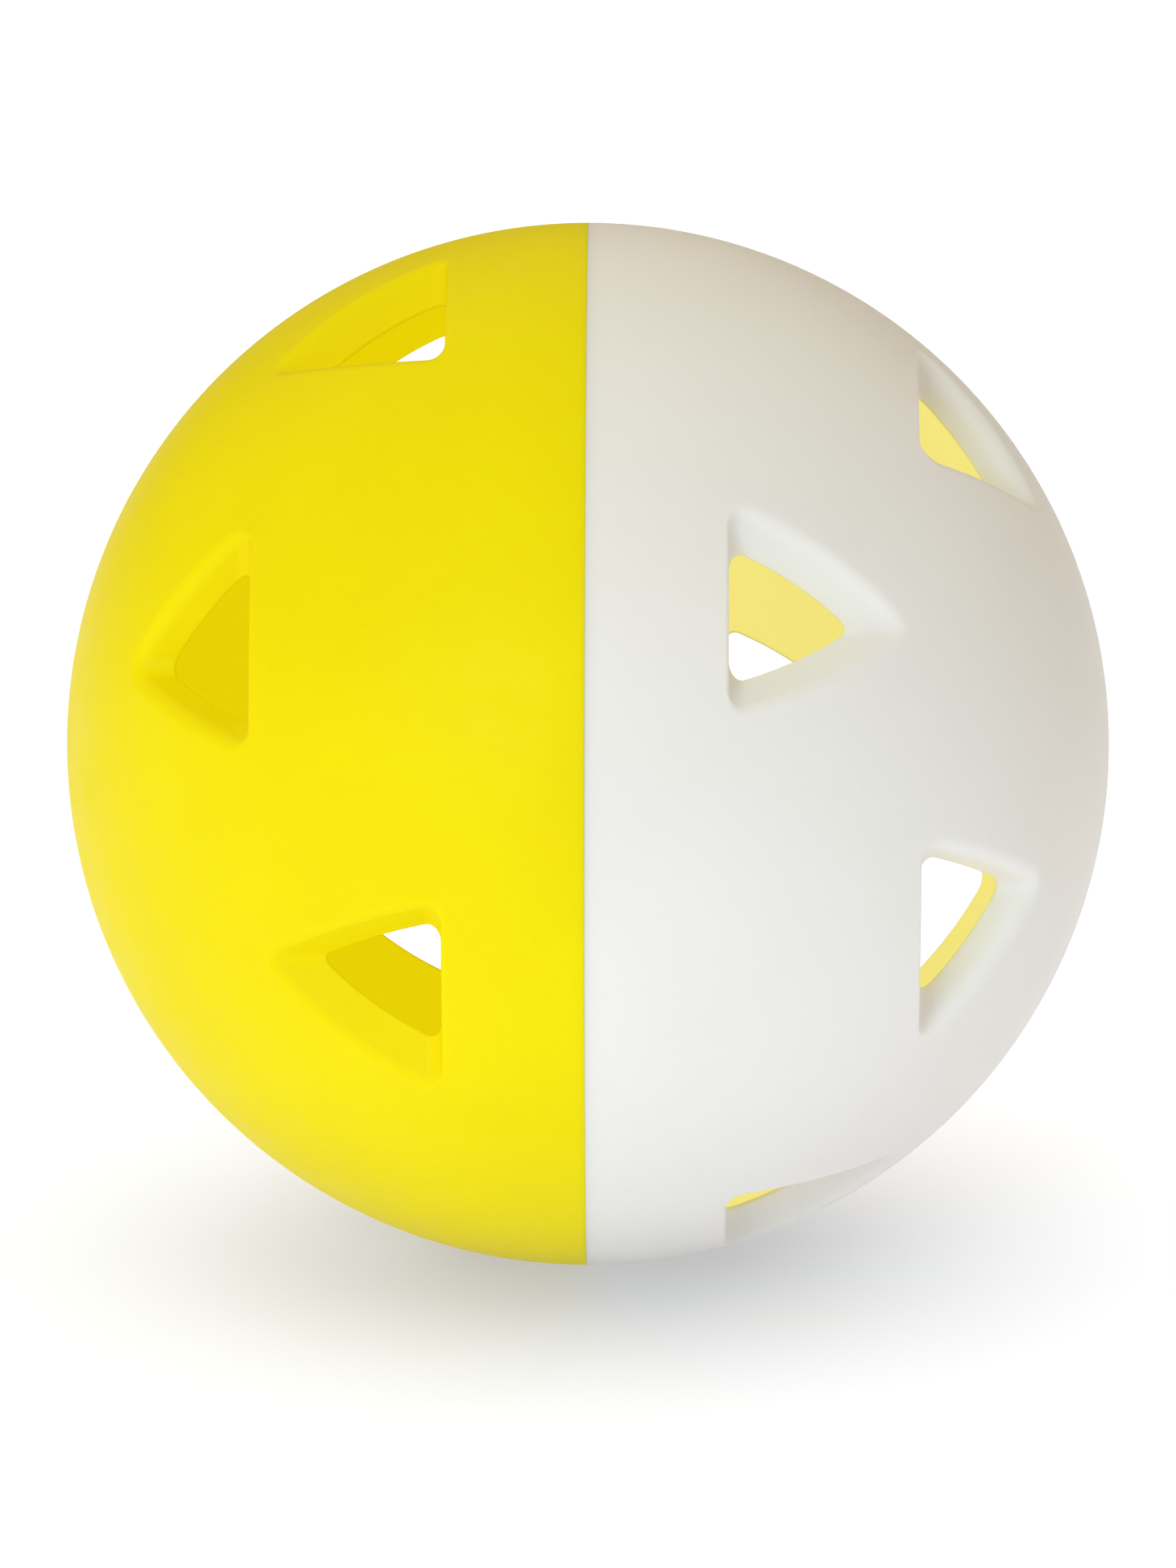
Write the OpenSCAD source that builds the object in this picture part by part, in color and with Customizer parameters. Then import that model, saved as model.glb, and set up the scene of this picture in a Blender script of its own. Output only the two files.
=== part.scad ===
// Hollow two-colour play ball: two welded half shells with straight-pull triangular vents.
// Origin at the ball's centre. X is the mould axis: yellow half at -X, white half at +X.
// The seam lies in the plane x = 0. Z is up and -Y is the front. All sizes are in mm.
//
// Every vent is a pocket that opens along the mould axis. It has one flat side square to
// that axis, facing away from the seam, and two slanting sides parallel to the axis that
// meet in a rounded tip. Seen from the side it is a triangle that points to the pole.

/* [Shell] */
// Outside diameter of the ball
ball_d = 74; // [72:0.5:76]
// Thickness of the shell
wall = 2.5; // [2.2:0.1:2.8]

/* [Seam] */
// Depth, and half the width, of the V-groove around the outside of the seam
groove_depth = 0.3; // [0.1:0.05:0.5]
// Thickness of the yellow half's locating tongue, in the middle of the wall
tongue_w = 0.8; // [0.6:0.1:1]
// How far the tongue stands out of the yellow half
tongue_h = 1.0; // [0.5:0.1:1.5]

/* [Vents in the ring next to the seam] */
// Distance from the seam to the vents' flat side
seam_ring_face = 9.8; // [8.5:0.1:11]
// Distance from the mould axis to the vents' tip
seam_ring_tip = 29.9; // [29.4:0.1:30.6]
// Angle of each slanting side to the line from the mould axis through the vent
seam_ring_flare = 55; // [48:1:58]
// Where the yellow half has them: degrees upwards from the front
yellow_seam_ring = [-15, 75, 139, 217.5, 271]; // [-90:0.5:330]
// Where the white half has them
white_seam_ring = [-60, 30, 120, 188, 243]; // [-90:0.5:330]

/* [Vents in the ring next to the pole] */
// Distance from the seam to the vents' flat side
pole_ring_face = 23.1; // [22.5:0.1:24]
// Distance from the mould axis to the vents' tip
pole_ring_tip = 19.7; // [18.5:0.1:20.5]
// Angle of each slanting side to the line from the mould axis through the vent
pole_ring_flare = 43; // [36:1:48]
// Where the yellow half has them: degrees upwards from the front
yellow_pole_ring = [30, 150, 270]; // [-90:0.5:330]
// Where the white half has them
white_pole_ring = [-15, 75, 224]; // [-90:0.5:330]

/* [Every vent] */
// Radius of the vents' rounded tip and corners
corner_r = 1.2; // [0.8:0.1:1.4]

/* [Hidden] */
$fn = 160;
// How far a cutting tool runs past the surface that it cuts
past = 1;
// How far the rounding of a vent's corner stands out past the flats that it joins
lap = 0.05;
ball_r = ball_d / 2;
inner_r = ball_r - wall;
tongue_inner_r = inner_r + (wall - tongue_w) / 2;

// A ring of rectangular section around the mould axis, between two places along it.
module axis_ring(ring_inner_r, width, from_x, to_x)
    rotate([0, 90, 0])
        rotate_extrude()
            translate([ring_inner_r, from_x])
                square([width, to_x - from_x]);

// The closed half shell at +X, turned around the mould axis, with its side of the V-groove.
module closed_half_shell()
    rotate([0, 90, 0])
        rotate_extrude()
            difference() {
                circle(ball_r);
                circle(inner_r);
                translate([-ball_d, -ball_d])
                    square([ball_d, 2 * ball_d]);
                translate([-ball_d, -ball_d])
                    square([2 * ball_d, ball_d]);
                polygon([
                    [ball_r - groove_depth, 0],
                    [ball_r + groove_depth, 2 * groove_depth],
                    [ball_r + groove_depth, -past],
                    [ball_r - groove_depth, -past]
                ]);
            }

// Runs a flat outline along the mould axis, between two places on it.
module along_axis(from_x, to_x)
    translate([from_x, 0, 0])
        rotate([90, 0, 90])
            linear_extrude(height = to_x - from_x)
                children();

// The distance from the mould axis to the ball's surface, at a place along the axis.
function surface_r(x) = sqrt(ball_r * ball_r - x * x);

// The void of one vent, at the top of the +X half. The two slanting sides are lines that
// leave the tip's centre of rounding; the flat side meets them in rounded corners. Each
// flat lies inside its corner's rounding by lap, so that they meet in a clean edge.
module vent_void(face, tip, flare) {
    centre_z = tip + corner_r;
    end_x = surface_r(tip) + past;
    run = (surface_r(face) + past - centre_z) / cos(flare);
    side = run * [sin(flare), cos(flare)];
    outward = (corner_r - lap) * [cos(flare), -sin(flare)];
    mirrored = [[-1, 0], [0, 1]];
    centre = [0, centre_z];

    // the full width, above the corners
    along_axis(face + corner_r, end_x) {
        polygon([
            centre,
            centre + outward,
            centre + side + outward,
            centre + mirrored * (side + outward),
            centre + mirrored * outward
        ]);
        translate(centre)
            circle(corner_r);
    }
    // the flat side itself, between the corners
    along_axis(face + lap, end_x)
        polygon([centre, centre + side, centre + mirrored * side]);
    // the rounded corners along the slanting sides, and at the tip
    translate([face + corner_r, 0, centre_z]) {
        sphere(corner_r + lap);
        for (turn = [-flare, flare])
            rotate([turn, 0, 0])
                cylinder(h = run, r = corner_r);
    }
}

module vents(face, tip, flare, places)
    for (place = places)
        rotate([90 - place, 0, 0])
            vent_void(face, tip, flare);

// The half of the ball at +X, with its vents.
module half_shell(seam_ring_places, pole_ring_places)
    difference() {
        closed_half_shell();
        vents(seam_ring_face, seam_ring_tip, seam_ring_flare, seam_ring_places);
        vents(pole_ring_face, pole_ring_tip, pole_ring_flare, pole_ring_places);
    }

module yellow_half_shell()
    color([0.94, 0.88, 0.04])
        mirror([1, 0, 0])
            union() {
                half_shell(yellow_seam_ring, yellow_pole_ring);
                axis_ring(tongue_inner_r, tongue_w, -tongue_h, tongue_h);
            }

module white_half_shell()
    color([0.92, 0.92, 0.90])
        difference() {
            half_shell(white_seam_ring, white_pole_ring);
            axis_ring(tongue_inner_r, tongue_w, -past, tongue_h);
        }

yellow_half_shell();
white_half_shell();
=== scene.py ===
"""Looks of the hollow two-colour ball: two vented half shells, plain floor, soft light."""
import math

import bpy
import numpy as np
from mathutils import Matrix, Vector
from mathutils.geometry import delaunay_2d_cdt


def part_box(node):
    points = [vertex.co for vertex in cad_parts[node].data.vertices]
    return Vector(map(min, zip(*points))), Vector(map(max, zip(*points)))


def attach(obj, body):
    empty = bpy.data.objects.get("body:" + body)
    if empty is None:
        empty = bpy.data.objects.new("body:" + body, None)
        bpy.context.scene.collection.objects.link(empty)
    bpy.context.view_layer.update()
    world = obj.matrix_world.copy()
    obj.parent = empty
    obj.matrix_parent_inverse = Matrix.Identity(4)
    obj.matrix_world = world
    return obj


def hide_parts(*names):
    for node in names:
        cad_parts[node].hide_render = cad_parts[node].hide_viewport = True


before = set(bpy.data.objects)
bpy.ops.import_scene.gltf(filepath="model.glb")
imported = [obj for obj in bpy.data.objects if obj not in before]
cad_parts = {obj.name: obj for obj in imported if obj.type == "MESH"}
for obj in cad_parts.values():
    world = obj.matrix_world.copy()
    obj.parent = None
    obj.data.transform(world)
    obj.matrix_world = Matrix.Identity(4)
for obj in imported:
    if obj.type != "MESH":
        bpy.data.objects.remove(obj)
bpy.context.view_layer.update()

# ---------------------------------------------------------------- sizes, in millimetres
MM = 0.001
BALL_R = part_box("white_half_shell")[1].x / MM
WALL = 2.5
INNER_R = BALL_R - WALL
CORNER_R = 1.2          # rounding of a vent's tip and corners
SEAM_ROUND = 0.04       # rounding of each half's outer edge at the seam
FLAT_LIP = 0.35         # rounding of a vent's outer edge along its flat side
SLANT_LIP = 1.3         # and along its slanting sides and tip
INNER_LIP = 0.2         # rounding of its inner edge

# A vent's flat side is at "face" from the seam, and its tip at "tip" from the X axis. Its two
# slanting sides lean by "flare". Each place is in degrees upwards from the front.
SEAM_RING = {"face": 9.8, "tip": 29.9, "flare": math.radians(55)}
POLE_RING = {"face": 23.1, "tip": 19.7, "flare": math.radians(43)}
YELLOW_VENTS = [(SEAM_RING, p) for p in (-15, 75, 139, 217.5, 271)]
YELLOW_VENTS += [(POLE_RING, p) for p in (30, 150, 270)]
WHITE_VENTS = [(SEAM_RING, p) for p in (-60, 30, 120, 188, 243)]
WHITE_VENTS += [(POLE_RING, p) for p in (-15, 75, 224)]

# ---------------------------------------------------------------- fineness of the mesh
SURFACE_STEP = 0.8      # spacing of the points on the spheres
LOOP_POINTS = 132       # points round a vent
SEAM_POINTS = 420       # points round the seam
LIP_STEPS = 5           # rings round each rounded edge
WALL_STEPS = 10         # rings down a vent's wall
HALVINGS = 44           # steps of the search for a vent's outline
WIDEST = 0.7            # angle at the ball's centre that no vent's half width reaches
ANGLES_TRIED = 1441     # directions in which a vent's outline is measured


class Vent:
    """One vent of a half shell whose pole is at +X. A vent's core is its void shrunk by the
    radius of its corners, so the void is everything within CORNER_R of the core."""

    def __init__(self, ring, place):
        turn = math.radians(place)
        self.face = ring["face"] + CORNER_R
        self.tip = ring["tip"] + CORNER_R
        self.sin, self.cos = math.sin(ring["flare"]), math.cos(ring["flare"])
        self.out = np.array([0.0, -math.cos(turn), math.sin(turn)])
        self.side = np.array([0.0, math.sin(turn), math.cos(turn)])

    def core_distance(self, points):
        """Distance of each point from the core, and the unit direction away from it."""
        up = points @ self.out - self.tip
        across = points @ self.side
        flip = np.where(across < 0, -1.0, 1.0)
        across = np.abs(across)
        off_side = across * self.cos - up * self.sin
        before_tip = up * self.cos + across * self.sin < 0
        d_up = np.where(off_side <= 0, 0.0, np.where(before_tip, up, -self.sin * off_side))
        d_across = np.where(off_side <= 0, 0.0, np.where(before_tip, across, self.cos * off_side))
        d_x = np.minimum(0.0, points[:, 0] - self.face)
        away = np.outer(d_up, self.out) + np.outer(d_across * flip, self.side)
        away[:, 0] += d_x
        distance = np.linalg.norm(away, axis=1)
        return distance, away / np.maximum(distance, 1e-12)[:, None]

    def loop(self, radius, level, angles):
        """Points at given distances from the ball's centre and the core, one in each direction
        from the vent's middle."""
        around = np.mean(radius)
        far_x = math.sqrt(around**2 - (self.tip - CORNER_R) ** 2)
        near_x = self.face - CORNER_R
        middle_x = near_x + 0.4 * (far_x - near_x)
        middle = self.out * math.sqrt(around**2 - middle_x**2)
        middle[0] = middle_x
        middle /= around
        to_pole = np.array([1.0, 0.0, 0.0]) - middle[0] * middle
        to_pole /= np.linalg.norm(to_pole)
        heading = np.outer(np.cos(angles), to_pole) + np.outer(np.sin(angles), self.side)
        low = np.zeros(len(angles))
        high = np.full(len(angles), WIDEST)
        for _ in range(HALVINGS):
            mid = (low + high) / 2
            points = np.cos(mid)[:, None] * middle + np.sin(mid)[:, None] * heading
            points *= np.reshape(radius, (-1, 1))
            inside = self.core_distance(points)[0] < level
            low, high = np.where(inside, mid, low), np.where(inside, high, mid)
        return points

    def even_angles(self, count):
        """Angles round the vent that space its outer and inner loops about evenly."""
        dense = np.linspace(0, 2 * math.pi, ANGLES_TRIED)
        travelled = np.zeros(len(dense))
        for radius in (BALL_R, INNER_R):
            steps = np.linalg.norm(np.diff(self.loop(radius, CORNER_R, dense), axis=0), axis=1)
            travelled[1:] += np.cumsum(steps) / steps.sum()
        wanted = np.arange(count) * travelled[-1] / count
        return np.interp(wanted, travelled, dense)


def turned(start, end, steps):
    """Unit vectors from start to end, along the shortest turn."""
    angle = np.arccos(np.clip(np.sum(start * end, axis=1), -1, 1))[:, None]
    rows = []
    for k in range(steps + 1):
        share = k / steps
        row = np.sin((1 - share) * angle) * start + np.sin(share * angle) * end
        rows.append(row / np.linalg.norm(row, axis=1)[:, None])
    return rows


def vent_rows(vent):
    """Rings of (points, normals) from the outer sphere, round both lips, to the inner one."""
    angles = vent.even_angles(LOOP_POINTS)
    rows = []
    flatness = -vent.core_distance(vent.loop(BALL_R, CORNER_R, angles))[1][:, 0]
    lip = SLANT_LIP + (FLAT_LIP - SLANT_LIP) * flatness**2 * (3 - 2 * flatness)
    centre = vent.loop(BALL_R - lip, CORNER_R + lip, angles)
    radial = centre / np.linalg.norm(centre, axis=1)[:, None]
    away = vent.core_distance(centre)[1]
    for normal in turned(radial, -away, LIP_STEPS):
        rows.append((centre + lip[:, None] * normal, normal))
    top = rows[-1][0]

    centre = vent.loop(INNER_R + INNER_LIP, CORNER_R + INNER_LIP, angles)
    radial = centre / np.linalg.norm(centre, axis=1)[:, None]
    away = vent.core_distance(centre)[1]
    lip = [(centre + INNER_LIP * n, n) for n in turned(-away, -radial, LIP_STEPS)]
    bottom = lip[0][0]

    for k in range(1, WALL_STEPS):
        points = top + (bottom - top) * k / WALL_STEPS
        for _ in range(3):
            distance, away = vent.core_distance(points)
            points = points + (CORNER_R - distance)[:, None] * away
        rows.append((points, -vent.core_distance(points)[1]))
    return rows + lip


def ring(x, radius, count=SEAM_POINTS):
    """Points round the X axis."""
    turn = np.arange(count) * 2 * math.pi / count
    return np.stack([np.full(count, x), radius * np.cos(turn), radius * np.sin(turn)], axis=1)


def seam_rows():
    """Rings of (points, normals) from the outer sphere over the seam face to the inner one."""
    rows = []
    for radius, lip, sign in ((BALL_R, SEAM_ROUND, 1), (INNER_R, INNER_LIP, -1)):
        level = radius - sign * lip
        centre_r = math.sqrt(level**2 - lip**2)
        start = math.atan2(centre_r * sign, lip * sign)
        part = []
        for k in range(LIP_STEPS + 1):
            turn = start + (math.pi - start if sign > 0 else -math.pi - start) * k / LIP_STEPS
            nx, nr = math.cos(turn), math.sin(turn)
            normal = ring(nx, 1.0)
            normal[:, 1:] *= nr
            part.append((ring(lip + lip * nx, centre_r + lip * nr), normal))
        rows += part if sign > 0 else part[::-1]
    return rows


def unrolled(points):
    """A sphere's points laid flat round the pole at +X, true to distance from the pole."""
    from_axis = np.hypot(points[:, 1], points[:, 2])
    from_pole = np.arctan2(from_axis, points[:, 0])
    return points[:, 1:] * (from_pole / np.maximum(from_axis, 1e-12))[:, None]


def within(flat, loop):
    """Which of the flat points lie inside a closed flat loop."""
    x, y = flat[:, :1], flat[:, 1:]
    x0, y0 = loop[:, 0], loop[:, 1]
    x1, y1 = np.roll(x0, -1), np.roll(y0, -1)
    rising = (y0 > y) != (y1 > y)
    slope = (x1 - x0) / np.where(y1 == y0, 1.0, y1 - y0)
    return np.sum(rising & (x < x0 + (y - y0) * slope), axis=1) % 2 == 1


def sphere_points(radius, seam_x, loops):
    """Evenly spread points on a half sphere, clear of the seam and the loops of the vents."""
    last = math.acos(seam_x / radius)
    rings = round(last * radius / SURFACE_STEP)
    points = [np.array([[radius, 0.0, 0.0]])]
    for k in range(1, rings):
        lean = last * k / rings
        count = max(6, round(2 * math.pi * radius * math.sin(lean) / SURFACE_STEP))
        turn = (np.arange(count) + 0.5 * (k % 2)) * 2 * math.pi / count
        from_axis = radius * math.sin(lean)
        points.append(np.stack([np.full(count, radius * math.cos(lean)),
                                from_axis * np.cos(turn), from_axis * np.sin(turn)], axis=1))
    points = np.concatenate(points)
    for loop in loops:
        gap = np.linalg.norm(points[:, None] - loop[None, ::2], axis=2).min(axis=1)
        points = points[(gap > 0.5 * SURFACE_STEP) & ~within(unrolled(points), unrolled(loop))]
    return points


class Shell:
    """Collects the rings and faces of one half shell."""

    def __init__(self):
        self.points, self.normals, self.faces, self.size = [], [], [], 0

    def add(self, points, normals):
        """Adds points with their normals, and returns their numbers."""
        first = self.size
        self.points.append(points)
        self.normals.append(normals)
        self.size += len(points)
        return np.arange(first, self.size)

    def band(self, rows):
        """Joins rings of equally many points with quads, and returns the first and last."""
        rings = [self.add(*row) for row in rows]
        p, n = np.concatenate(self.points), np.concatenate(self.normals)
        for a, b in zip(rings, rings[1:]):
            a2, b2 = np.roll(a, -1), np.roll(b, -1)
            facing = np.cross(p[a2] - p[a], p[b] - p[a])
            order = (a, a2, b2, b) if np.sum(facing * n[a]) > 0 else (a, b, b2, a2)
            self.faces += np.stack(order, axis=1).tolist()
        return rings[0], rings[-1]

    def dome(self, radius, seam, loops, outward):
        """Fills a half sphere between its seam ring and the loops of its vents."""
        own = np.concatenate(self.points)
        edges, index = [], []
        for loop in [seam, *loops]:
            first = len(index)
            index += loop.tolist()
            edges += [(first + k, first + (k + 1) % len(loop)) for k in range(len(loop))]
        free = sphere_points(radius, own[seam[0]][0], [own[loop] for loop in loops])
        index += self.add(free, outward * free / radius).tolist()
        everything = np.concatenate([own, free])
        index = np.array(index)
        flat = unrolled(everything[index])
        _, _, faces, origin, _, _ = delaunay_2d_cdt(
            [Vector(v) for v in flat.tolist()], edges, [], 0, 1e-9)
        faces = np.array(faces)
        origin = np.array([o[0] for o in origin])
        middle = flat[origin[faces]].mean(axis=1)
        keep = np.ones(len(faces), bool)
        for loop in loops:
            keep &= ~within(middle, unrolled(own[loop]))
        faces = index[origin[faces[keep]]]
        a, b, c = (everything[faces[:, k]] for k in range(3))
        turned_in = np.sum(np.cross(b - a, c - a) * a, axis=1) * outward < 0
        faces[turned_in] = faces[turned_in][:, ::-1]
        self.faces += faces.tolist()


def half_shell(name, node, places, side, outside, inside):
    """Builds one vented half shell, with its pole at +X or -X, in place of its CAD node."""
    vents = [Vent(*place) for place in places]
    shell = Shell()
    bands = [shell.band(vent_rows(vent)) for vent in vents]
    outer_seam, inner_seam = shell.band(seam_rows())
    shell.dome(BALL_R, outer_seam, [b[0] for b in bands], 1)
    first_inside = len(shell.faces)
    shell.dome(INNER_R, inner_seam, [b[1] for b in bands], -1)

    points, normals = np.concatenate(shell.points), np.concatenate(shell.normals)
    faces = shell.faces
    if side < 0:
        points[:, 0] *= -1
        normals[:, 0] *= -1
        faces = [face[::-1] for face in faces]
    mesh = bpy.data.meshes.new(name)
    mesh.from_pydata((points * MM).tolist(), [], faces)
    mesh.polygons.foreach_set("use_smooth", [True] * len(mesh.polygons))
    mesh.normals_split_custom_set_from_vertices(normals.tolist())
    mesh.materials.append(outside)
    mesh.materials.append(inside)
    mesh.polygons.foreach_set("material_index", [int(k >= first_inside) for k in range(len(faces))])
    piece = bpy.data.objects.new(name, mesh)
    bpy.context.scene.collection.objects.link(piece)
    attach(piece, "root")
    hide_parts(node)


# ---------------------------------------------------------------- materials
CLOUD_SCALE = 45        # noise scales, in features to the metre
GLOSS_SCALE = 380
GRAIN_SCALE = 1500
WAVE_SCALE = 70
ROUGHNESS = (0.42, 0.54)
GRAIN_STRENGTH, GRAIN_DEPTH = 0.18, 0.00012
WAVE_STRENGTH, WAVE_DEPTH = 0.12, 0.0006


def new_material(name):
    """A node material with its node tree, its shader and its object coordinates."""
    material = bpy.data.materials.new(name)
    material.use_nodes = True
    tree = material.node_tree
    where = tree.nodes.new("ShaderNodeTexCoord").outputs["Object"]
    return material, tree, tree.nodes["Principled BSDF"], where


def noise(tree, where, scale, detail=3.0, roughness=0.55):
    """Smooth noise from 0 to 1, with about scale features to the metre."""
    node = tree.nodes.new("ShaderNodeTexNoise")
    node.inputs["Scale"].default_value = scale
    node.inputs["Detail"].default_value = detail
    node.inputs["Roughness"].default_value = roughness
    tree.links.new(where, node.inputs["Vector"])
    return node.outputs["Fac"]


def remapped(tree, value, low, high, to_low, to_high):
    """A value stretched from one range onto another, and held inside it."""
    node = tree.nodes.new("ShaderNodeMapRange")
    tree.links.new(value, node.inputs["Value"])
    for name, number in (("From Min", low), ("From Max", high), ("To Min", to_low), ("To Max", to_high)):
        node.inputs[name].default_value = number
    return node.outputs["Result"]


def mixed(tree, share, first, second):
    """Two colours mixed by a share from 0 to 1."""
    node = tree.nodes.new("ShaderNodeMix")
    node.data_type = "RGBA"
    tree.links.new(share, node.inputs["Factor"])
    node.inputs["A"].default_value = (*first, 1)
    node.inputs["B"].default_value = (*second, 1)
    return node.outputs["Result"]


def bumped(tree, height, strength, distance, under=None):
    """A bump from a height, laid over another bump where one is given."""
    node = tree.nodes.new("ShaderNodeBump")
    node.inputs["Strength"].default_value = strength
    node.inputs["Distance"].default_value = distance
    tree.links.new(height, node.inputs["Height"])
    if under is not None:
        tree.links.new(under, node.inputs["Normal"])
    return node.outputs["Normal"]


def moulded_plastic(name, light, deep, subsurface, scatter, radius, glow=0.0):
    """Satin moulded plastic: fine grain, faint cloudiness and slightly uneven gloss. On the
    inside of the ball, glow stands for the light that comes through the walls."""
    material, tree, shader, where = new_material(name)
    cloud = remapped(tree, noise(tree, where, CLOUD_SCALE), 0.35, 0.65, 0.0, 1.0)
    tree.links.new(mixed(tree, cloud, light, deep), shader.inputs["Base Color"])
    gloss = remapped(tree, noise(tree, where, GLOSS_SCALE), 0.3, 0.7, *ROUGHNESS)
    tree.links.new(gloss, shader.inputs["Roughness"])
    grain = bumped(tree, noise(tree, where, GRAIN_SCALE, 2.0), GRAIN_STRENGTH, GRAIN_DEPTH)
    waves = bumped(tree, noise(tree, where, WAVE_SCALE, 1.0), WAVE_STRENGTH, WAVE_DEPTH, grain)
    tree.links.new(waves, shader.inputs["Normal"])
    shader.inputs["IOR"].default_value = 1.5
    shader.inputs["Specular IOR Level"].default_value = 0.06
    shader.inputs["Subsurface Weight"].default_value = subsurface
    shader.inputs["Subsurface Scale"].default_value = scatter
    shader.inputs["Subsurface Radius"].default_value = radius
    shader.inputs["Emission Color"].default_value = (*light, 1)
    shader.inputs["Emission Strength"].default_value = glow
    return material


YELLOW = moulded_plastic(
    "yellow_plastic", (0.87, 0.735, 0.001), (0.84, 0.70, 0.001),
    subsurface=0.3, scatter=0.0012, radius=(1.0, 0.7, 0.1))
YELLOW_INSIDE = moulded_plastic(
    "yellow_plastic_inside", (0.84, 0.75, 0.001), (0.82, 0.73, 0.001),
    subsurface=0.0, scatter=0.001, radius=(1.0, 0.7, 0.1), glow=0.2)
WHITE = moulded_plastic(
    "white_plastic", (0.83, 0.815, 0.795), (0.81, 0.795, 0.775),
    subsurface=0.45, scatter=0.0012, radius=(1.0, 1.0, 1.0))
# Painted light: the white half's inside gets a pale yellow base colour and a yellow glow. They stand for
# yellow light reflected onto it from the yellow half and for light coming through the walls.
WHITE_INSIDE_PAINTED_BOUNCE = moulded_plastic(
    "white_plastic_inside_painted_bounce", (0.87, 0.85, 0.50), (0.86, 0.84, 0.48),
    subsurface=0.0, scatter=0.001, radius=(1.0, 0.97, 0.88), glow=0.27)

half_shell("yellow_half", "yellow_half_shell", YELLOW_VENTS, -1, YELLOW, YELLOW_INSIDE)
half_shell("white_half", "white_half_shell", WHITE_VENTS, 1, WHITE, WHITE_INSIDE_PAINTED_BOUNCE)


# ---------------------------------------------------------------- floor and light
FLOOR_Z = -BALL_R * MM
FLOOR_REACH = 60 * BALL_R * MM
FLOOR_GLOW = 0.45
LIGHT_DISTANCE = 1.2
OVERHEAD_FOOT = Vector((-0.06, 0.25, FLOOR_Z))      # the place on the floor under that light
OVERHEAD_HEIGHT = Vector((0, 0, 0.40))


def floor():
    """A plain pale floor. It shines a little by itself, so that its shadows stay light."""
    reach = FLOOR_REACH
    mesh = bpy.data.meshes.new("floor")
    corners = [(-reach, -reach), (reach, -reach), (reach, reach), (-reach, reach)]
    mesh.from_pydata([(x, y, FLOOR_Z) for x, y in corners], [], [(0, 1, 2, 3)])
    material, tree, shader, where = new_material("pale_floor")
    shade = remapped(tree, noise(tree, where, 3), 0.3, 0.7, 0.0, 1.0)
    tree.links.new(mixed(tree, shade, (0.20, 0.20, 0.205), (0.21, 0.21, 0.215)),
                   shader.inputs["Base Color"])
    shader.inputs["Roughness"].default_value = 0.9
    shader.inputs["Specular IOR Level"].default_value = 0.0
    shader.inputs["Emission Color"].default_value = (1, 1, 1, 1)
    shader.inputs["Emission Strength"].default_value = FLOOR_GLOW
    mesh.materials.append(material)
    plane = bpy.data.objects.new("floor", mesh)
    bpy.context.scene.collection.objects.link(plane)
    return plane


def softbox(name, place, towards, size, power, colour=(1, 1, 1), only=None):
    """A square area light. It can be kept to one object, which the ball still shades."""
    data = bpy.data.lights.new(name, "AREA")
    data.shape = "SQUARE"
    data.size = size
    data.energy = power
    data.color = colour
    lamp = bpy.data.objects.new(name, data)
    lamp.location = place
    lamp.rotation_mode = "QUATERNION"
    lamp.rotation_quaternion = (Vector(towards) - Vector(place)).to_track_quat("-Z", "Y")
    lamp.visible_camera = False
    bpy.context.scene.collection.objects.link(lamp)
    if only is not None:
        lit = bpy.data.collections.new(name + "_lights")
        lit.objects.link(only)
        lamp.light_linking.receiver_collection = lit


def studio():
    """Soft, slightly warm light from overhead, dimmer towards the horizon."""
    world = bpy.data.worlds.new("studio")
    world.use_nodes = True
    tree = world.node_tree
    split = tree.nodes.new("ShaderNodeSeparateXYZ")
    tree.links.new(tree.nodes.new("ShaderNodeTexCoord").outputs["Generated"], split.inputs[0])
    up = remapped(tree, split.outputs["Z"], 0.2, 0.7, 0.0, 1.0)
    tree.links.new(mixed(tree, up, (0.22, 0.20, 0.16), (0.86, 0.76, 0.58)),
                   tree.nodes["Background"].inputs["Color"])
    bpy.context.scene.world = world


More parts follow.
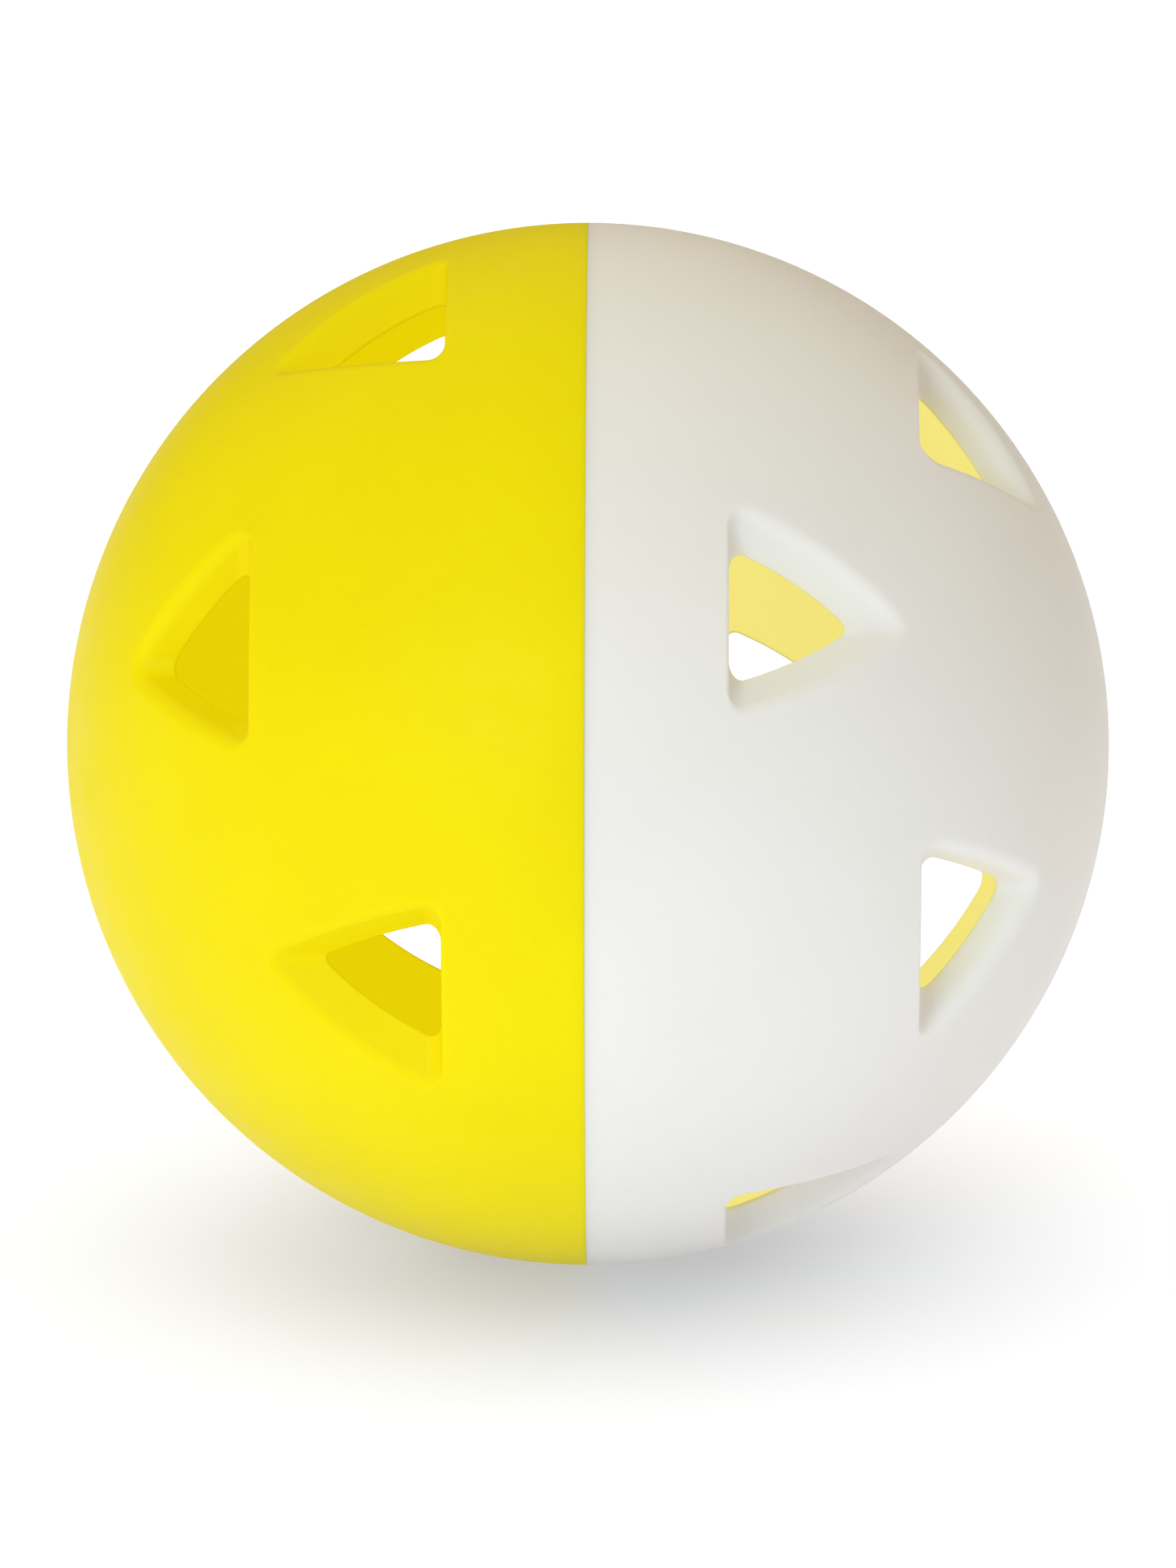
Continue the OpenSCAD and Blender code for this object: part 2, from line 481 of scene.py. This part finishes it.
def direction(azimuth, elevation, distance):
    """A place round the ball, in degrees to the right of and above straight in front."""
    a, e = math.radians(azimuth), math.radians(elevation)
    return Vector((math.sin(a) * math.cos(e), -math.cos(a) * math.cos(e), math.sin(e))) * distance


studio()
# A cool light from the front and a warm one from the left
softbox("key", direction(-20, 22, LIGHT_DISTANCE), (0, 0, 0),
        size=0.5, power=6.0, colour=(0.62, 0.84, 1.0))
softbox("side", direction(-60, 12, LIGHT_DISTANCE), (0, 0, 0),
        size=0.6, power=1.5, colour=(1.0, 0.62, 0.30))
# A soft light on the floor alone, from above and behind, for the shadow in front of the ball
softbox("overhead", OVERHEAD_FOOT + OVERHEAD_HEIGHT, OVERHEAD_FOOT,
        size=1.5, power=24.5, only=floor())


# ---------------------------------------------------------------- camera
IMAGE_H = 1947
ELEVATION = 14.7                     # degrees above the ball's centre
YAW = 0.4                            # degrees to the right of straight ahead
DISTANCE = 22 * BALL_R * MM
BALL_SHARE = 2 * 647 / IMAGE_H       # the ball's height as a share of the image's
ABOVE_MIDDLE = 49.9 / IMAGE_H        # how far its centre lies above the image's


def camera():
    """The photograph's viewing angle, with the ball where it stands in the photograph."""
    data = bpy.data.cameras.new("camera")
    data.sensor_fit = "AUTO"
    data.sensor_width = 36
    seen = BALL_R * MM / math.sqrt(DISTANCE**2 - (BALL_R * MM) ** 2)
    data.lens = BALL_SHARE / 2 / seen * data.sensor_width
    lens_share = data.lens / data.sensor_width
    tilt = math.radians(ELEVATION) + math.atan(ABOVE_MIDDLE / lens_share)
    yaw = math.radians(YAW)
    place = Vector((math.sin(yaw) * math.cos(math.radians(ELEVATION)),
                    -math.cos(yaw) * math.cos(math.radians(ELEVATION)),
                    math.sin(math.radians(ELEVATION))))
    look = Vector((-math.sin(yaw) * math.cos(tilt), math.cos(yaw) * math.cos(tilt), -math.sin(tilt)))
    eye = bpy.data.objects.new("camera", data)
    eye.location = place * DISTANCE
    eye.rotation_mode = "QUATERNION"
    eye.rotation_quaternion = look.to_track_quat("-Z", "Y")
    data.clip_end = 10
    bpy.context.scene.collection.objects.link(eye)
    bpy.context.scene.camera = eye


camera()
bpy.context.scene.view_settings.view_transform = "Standard"
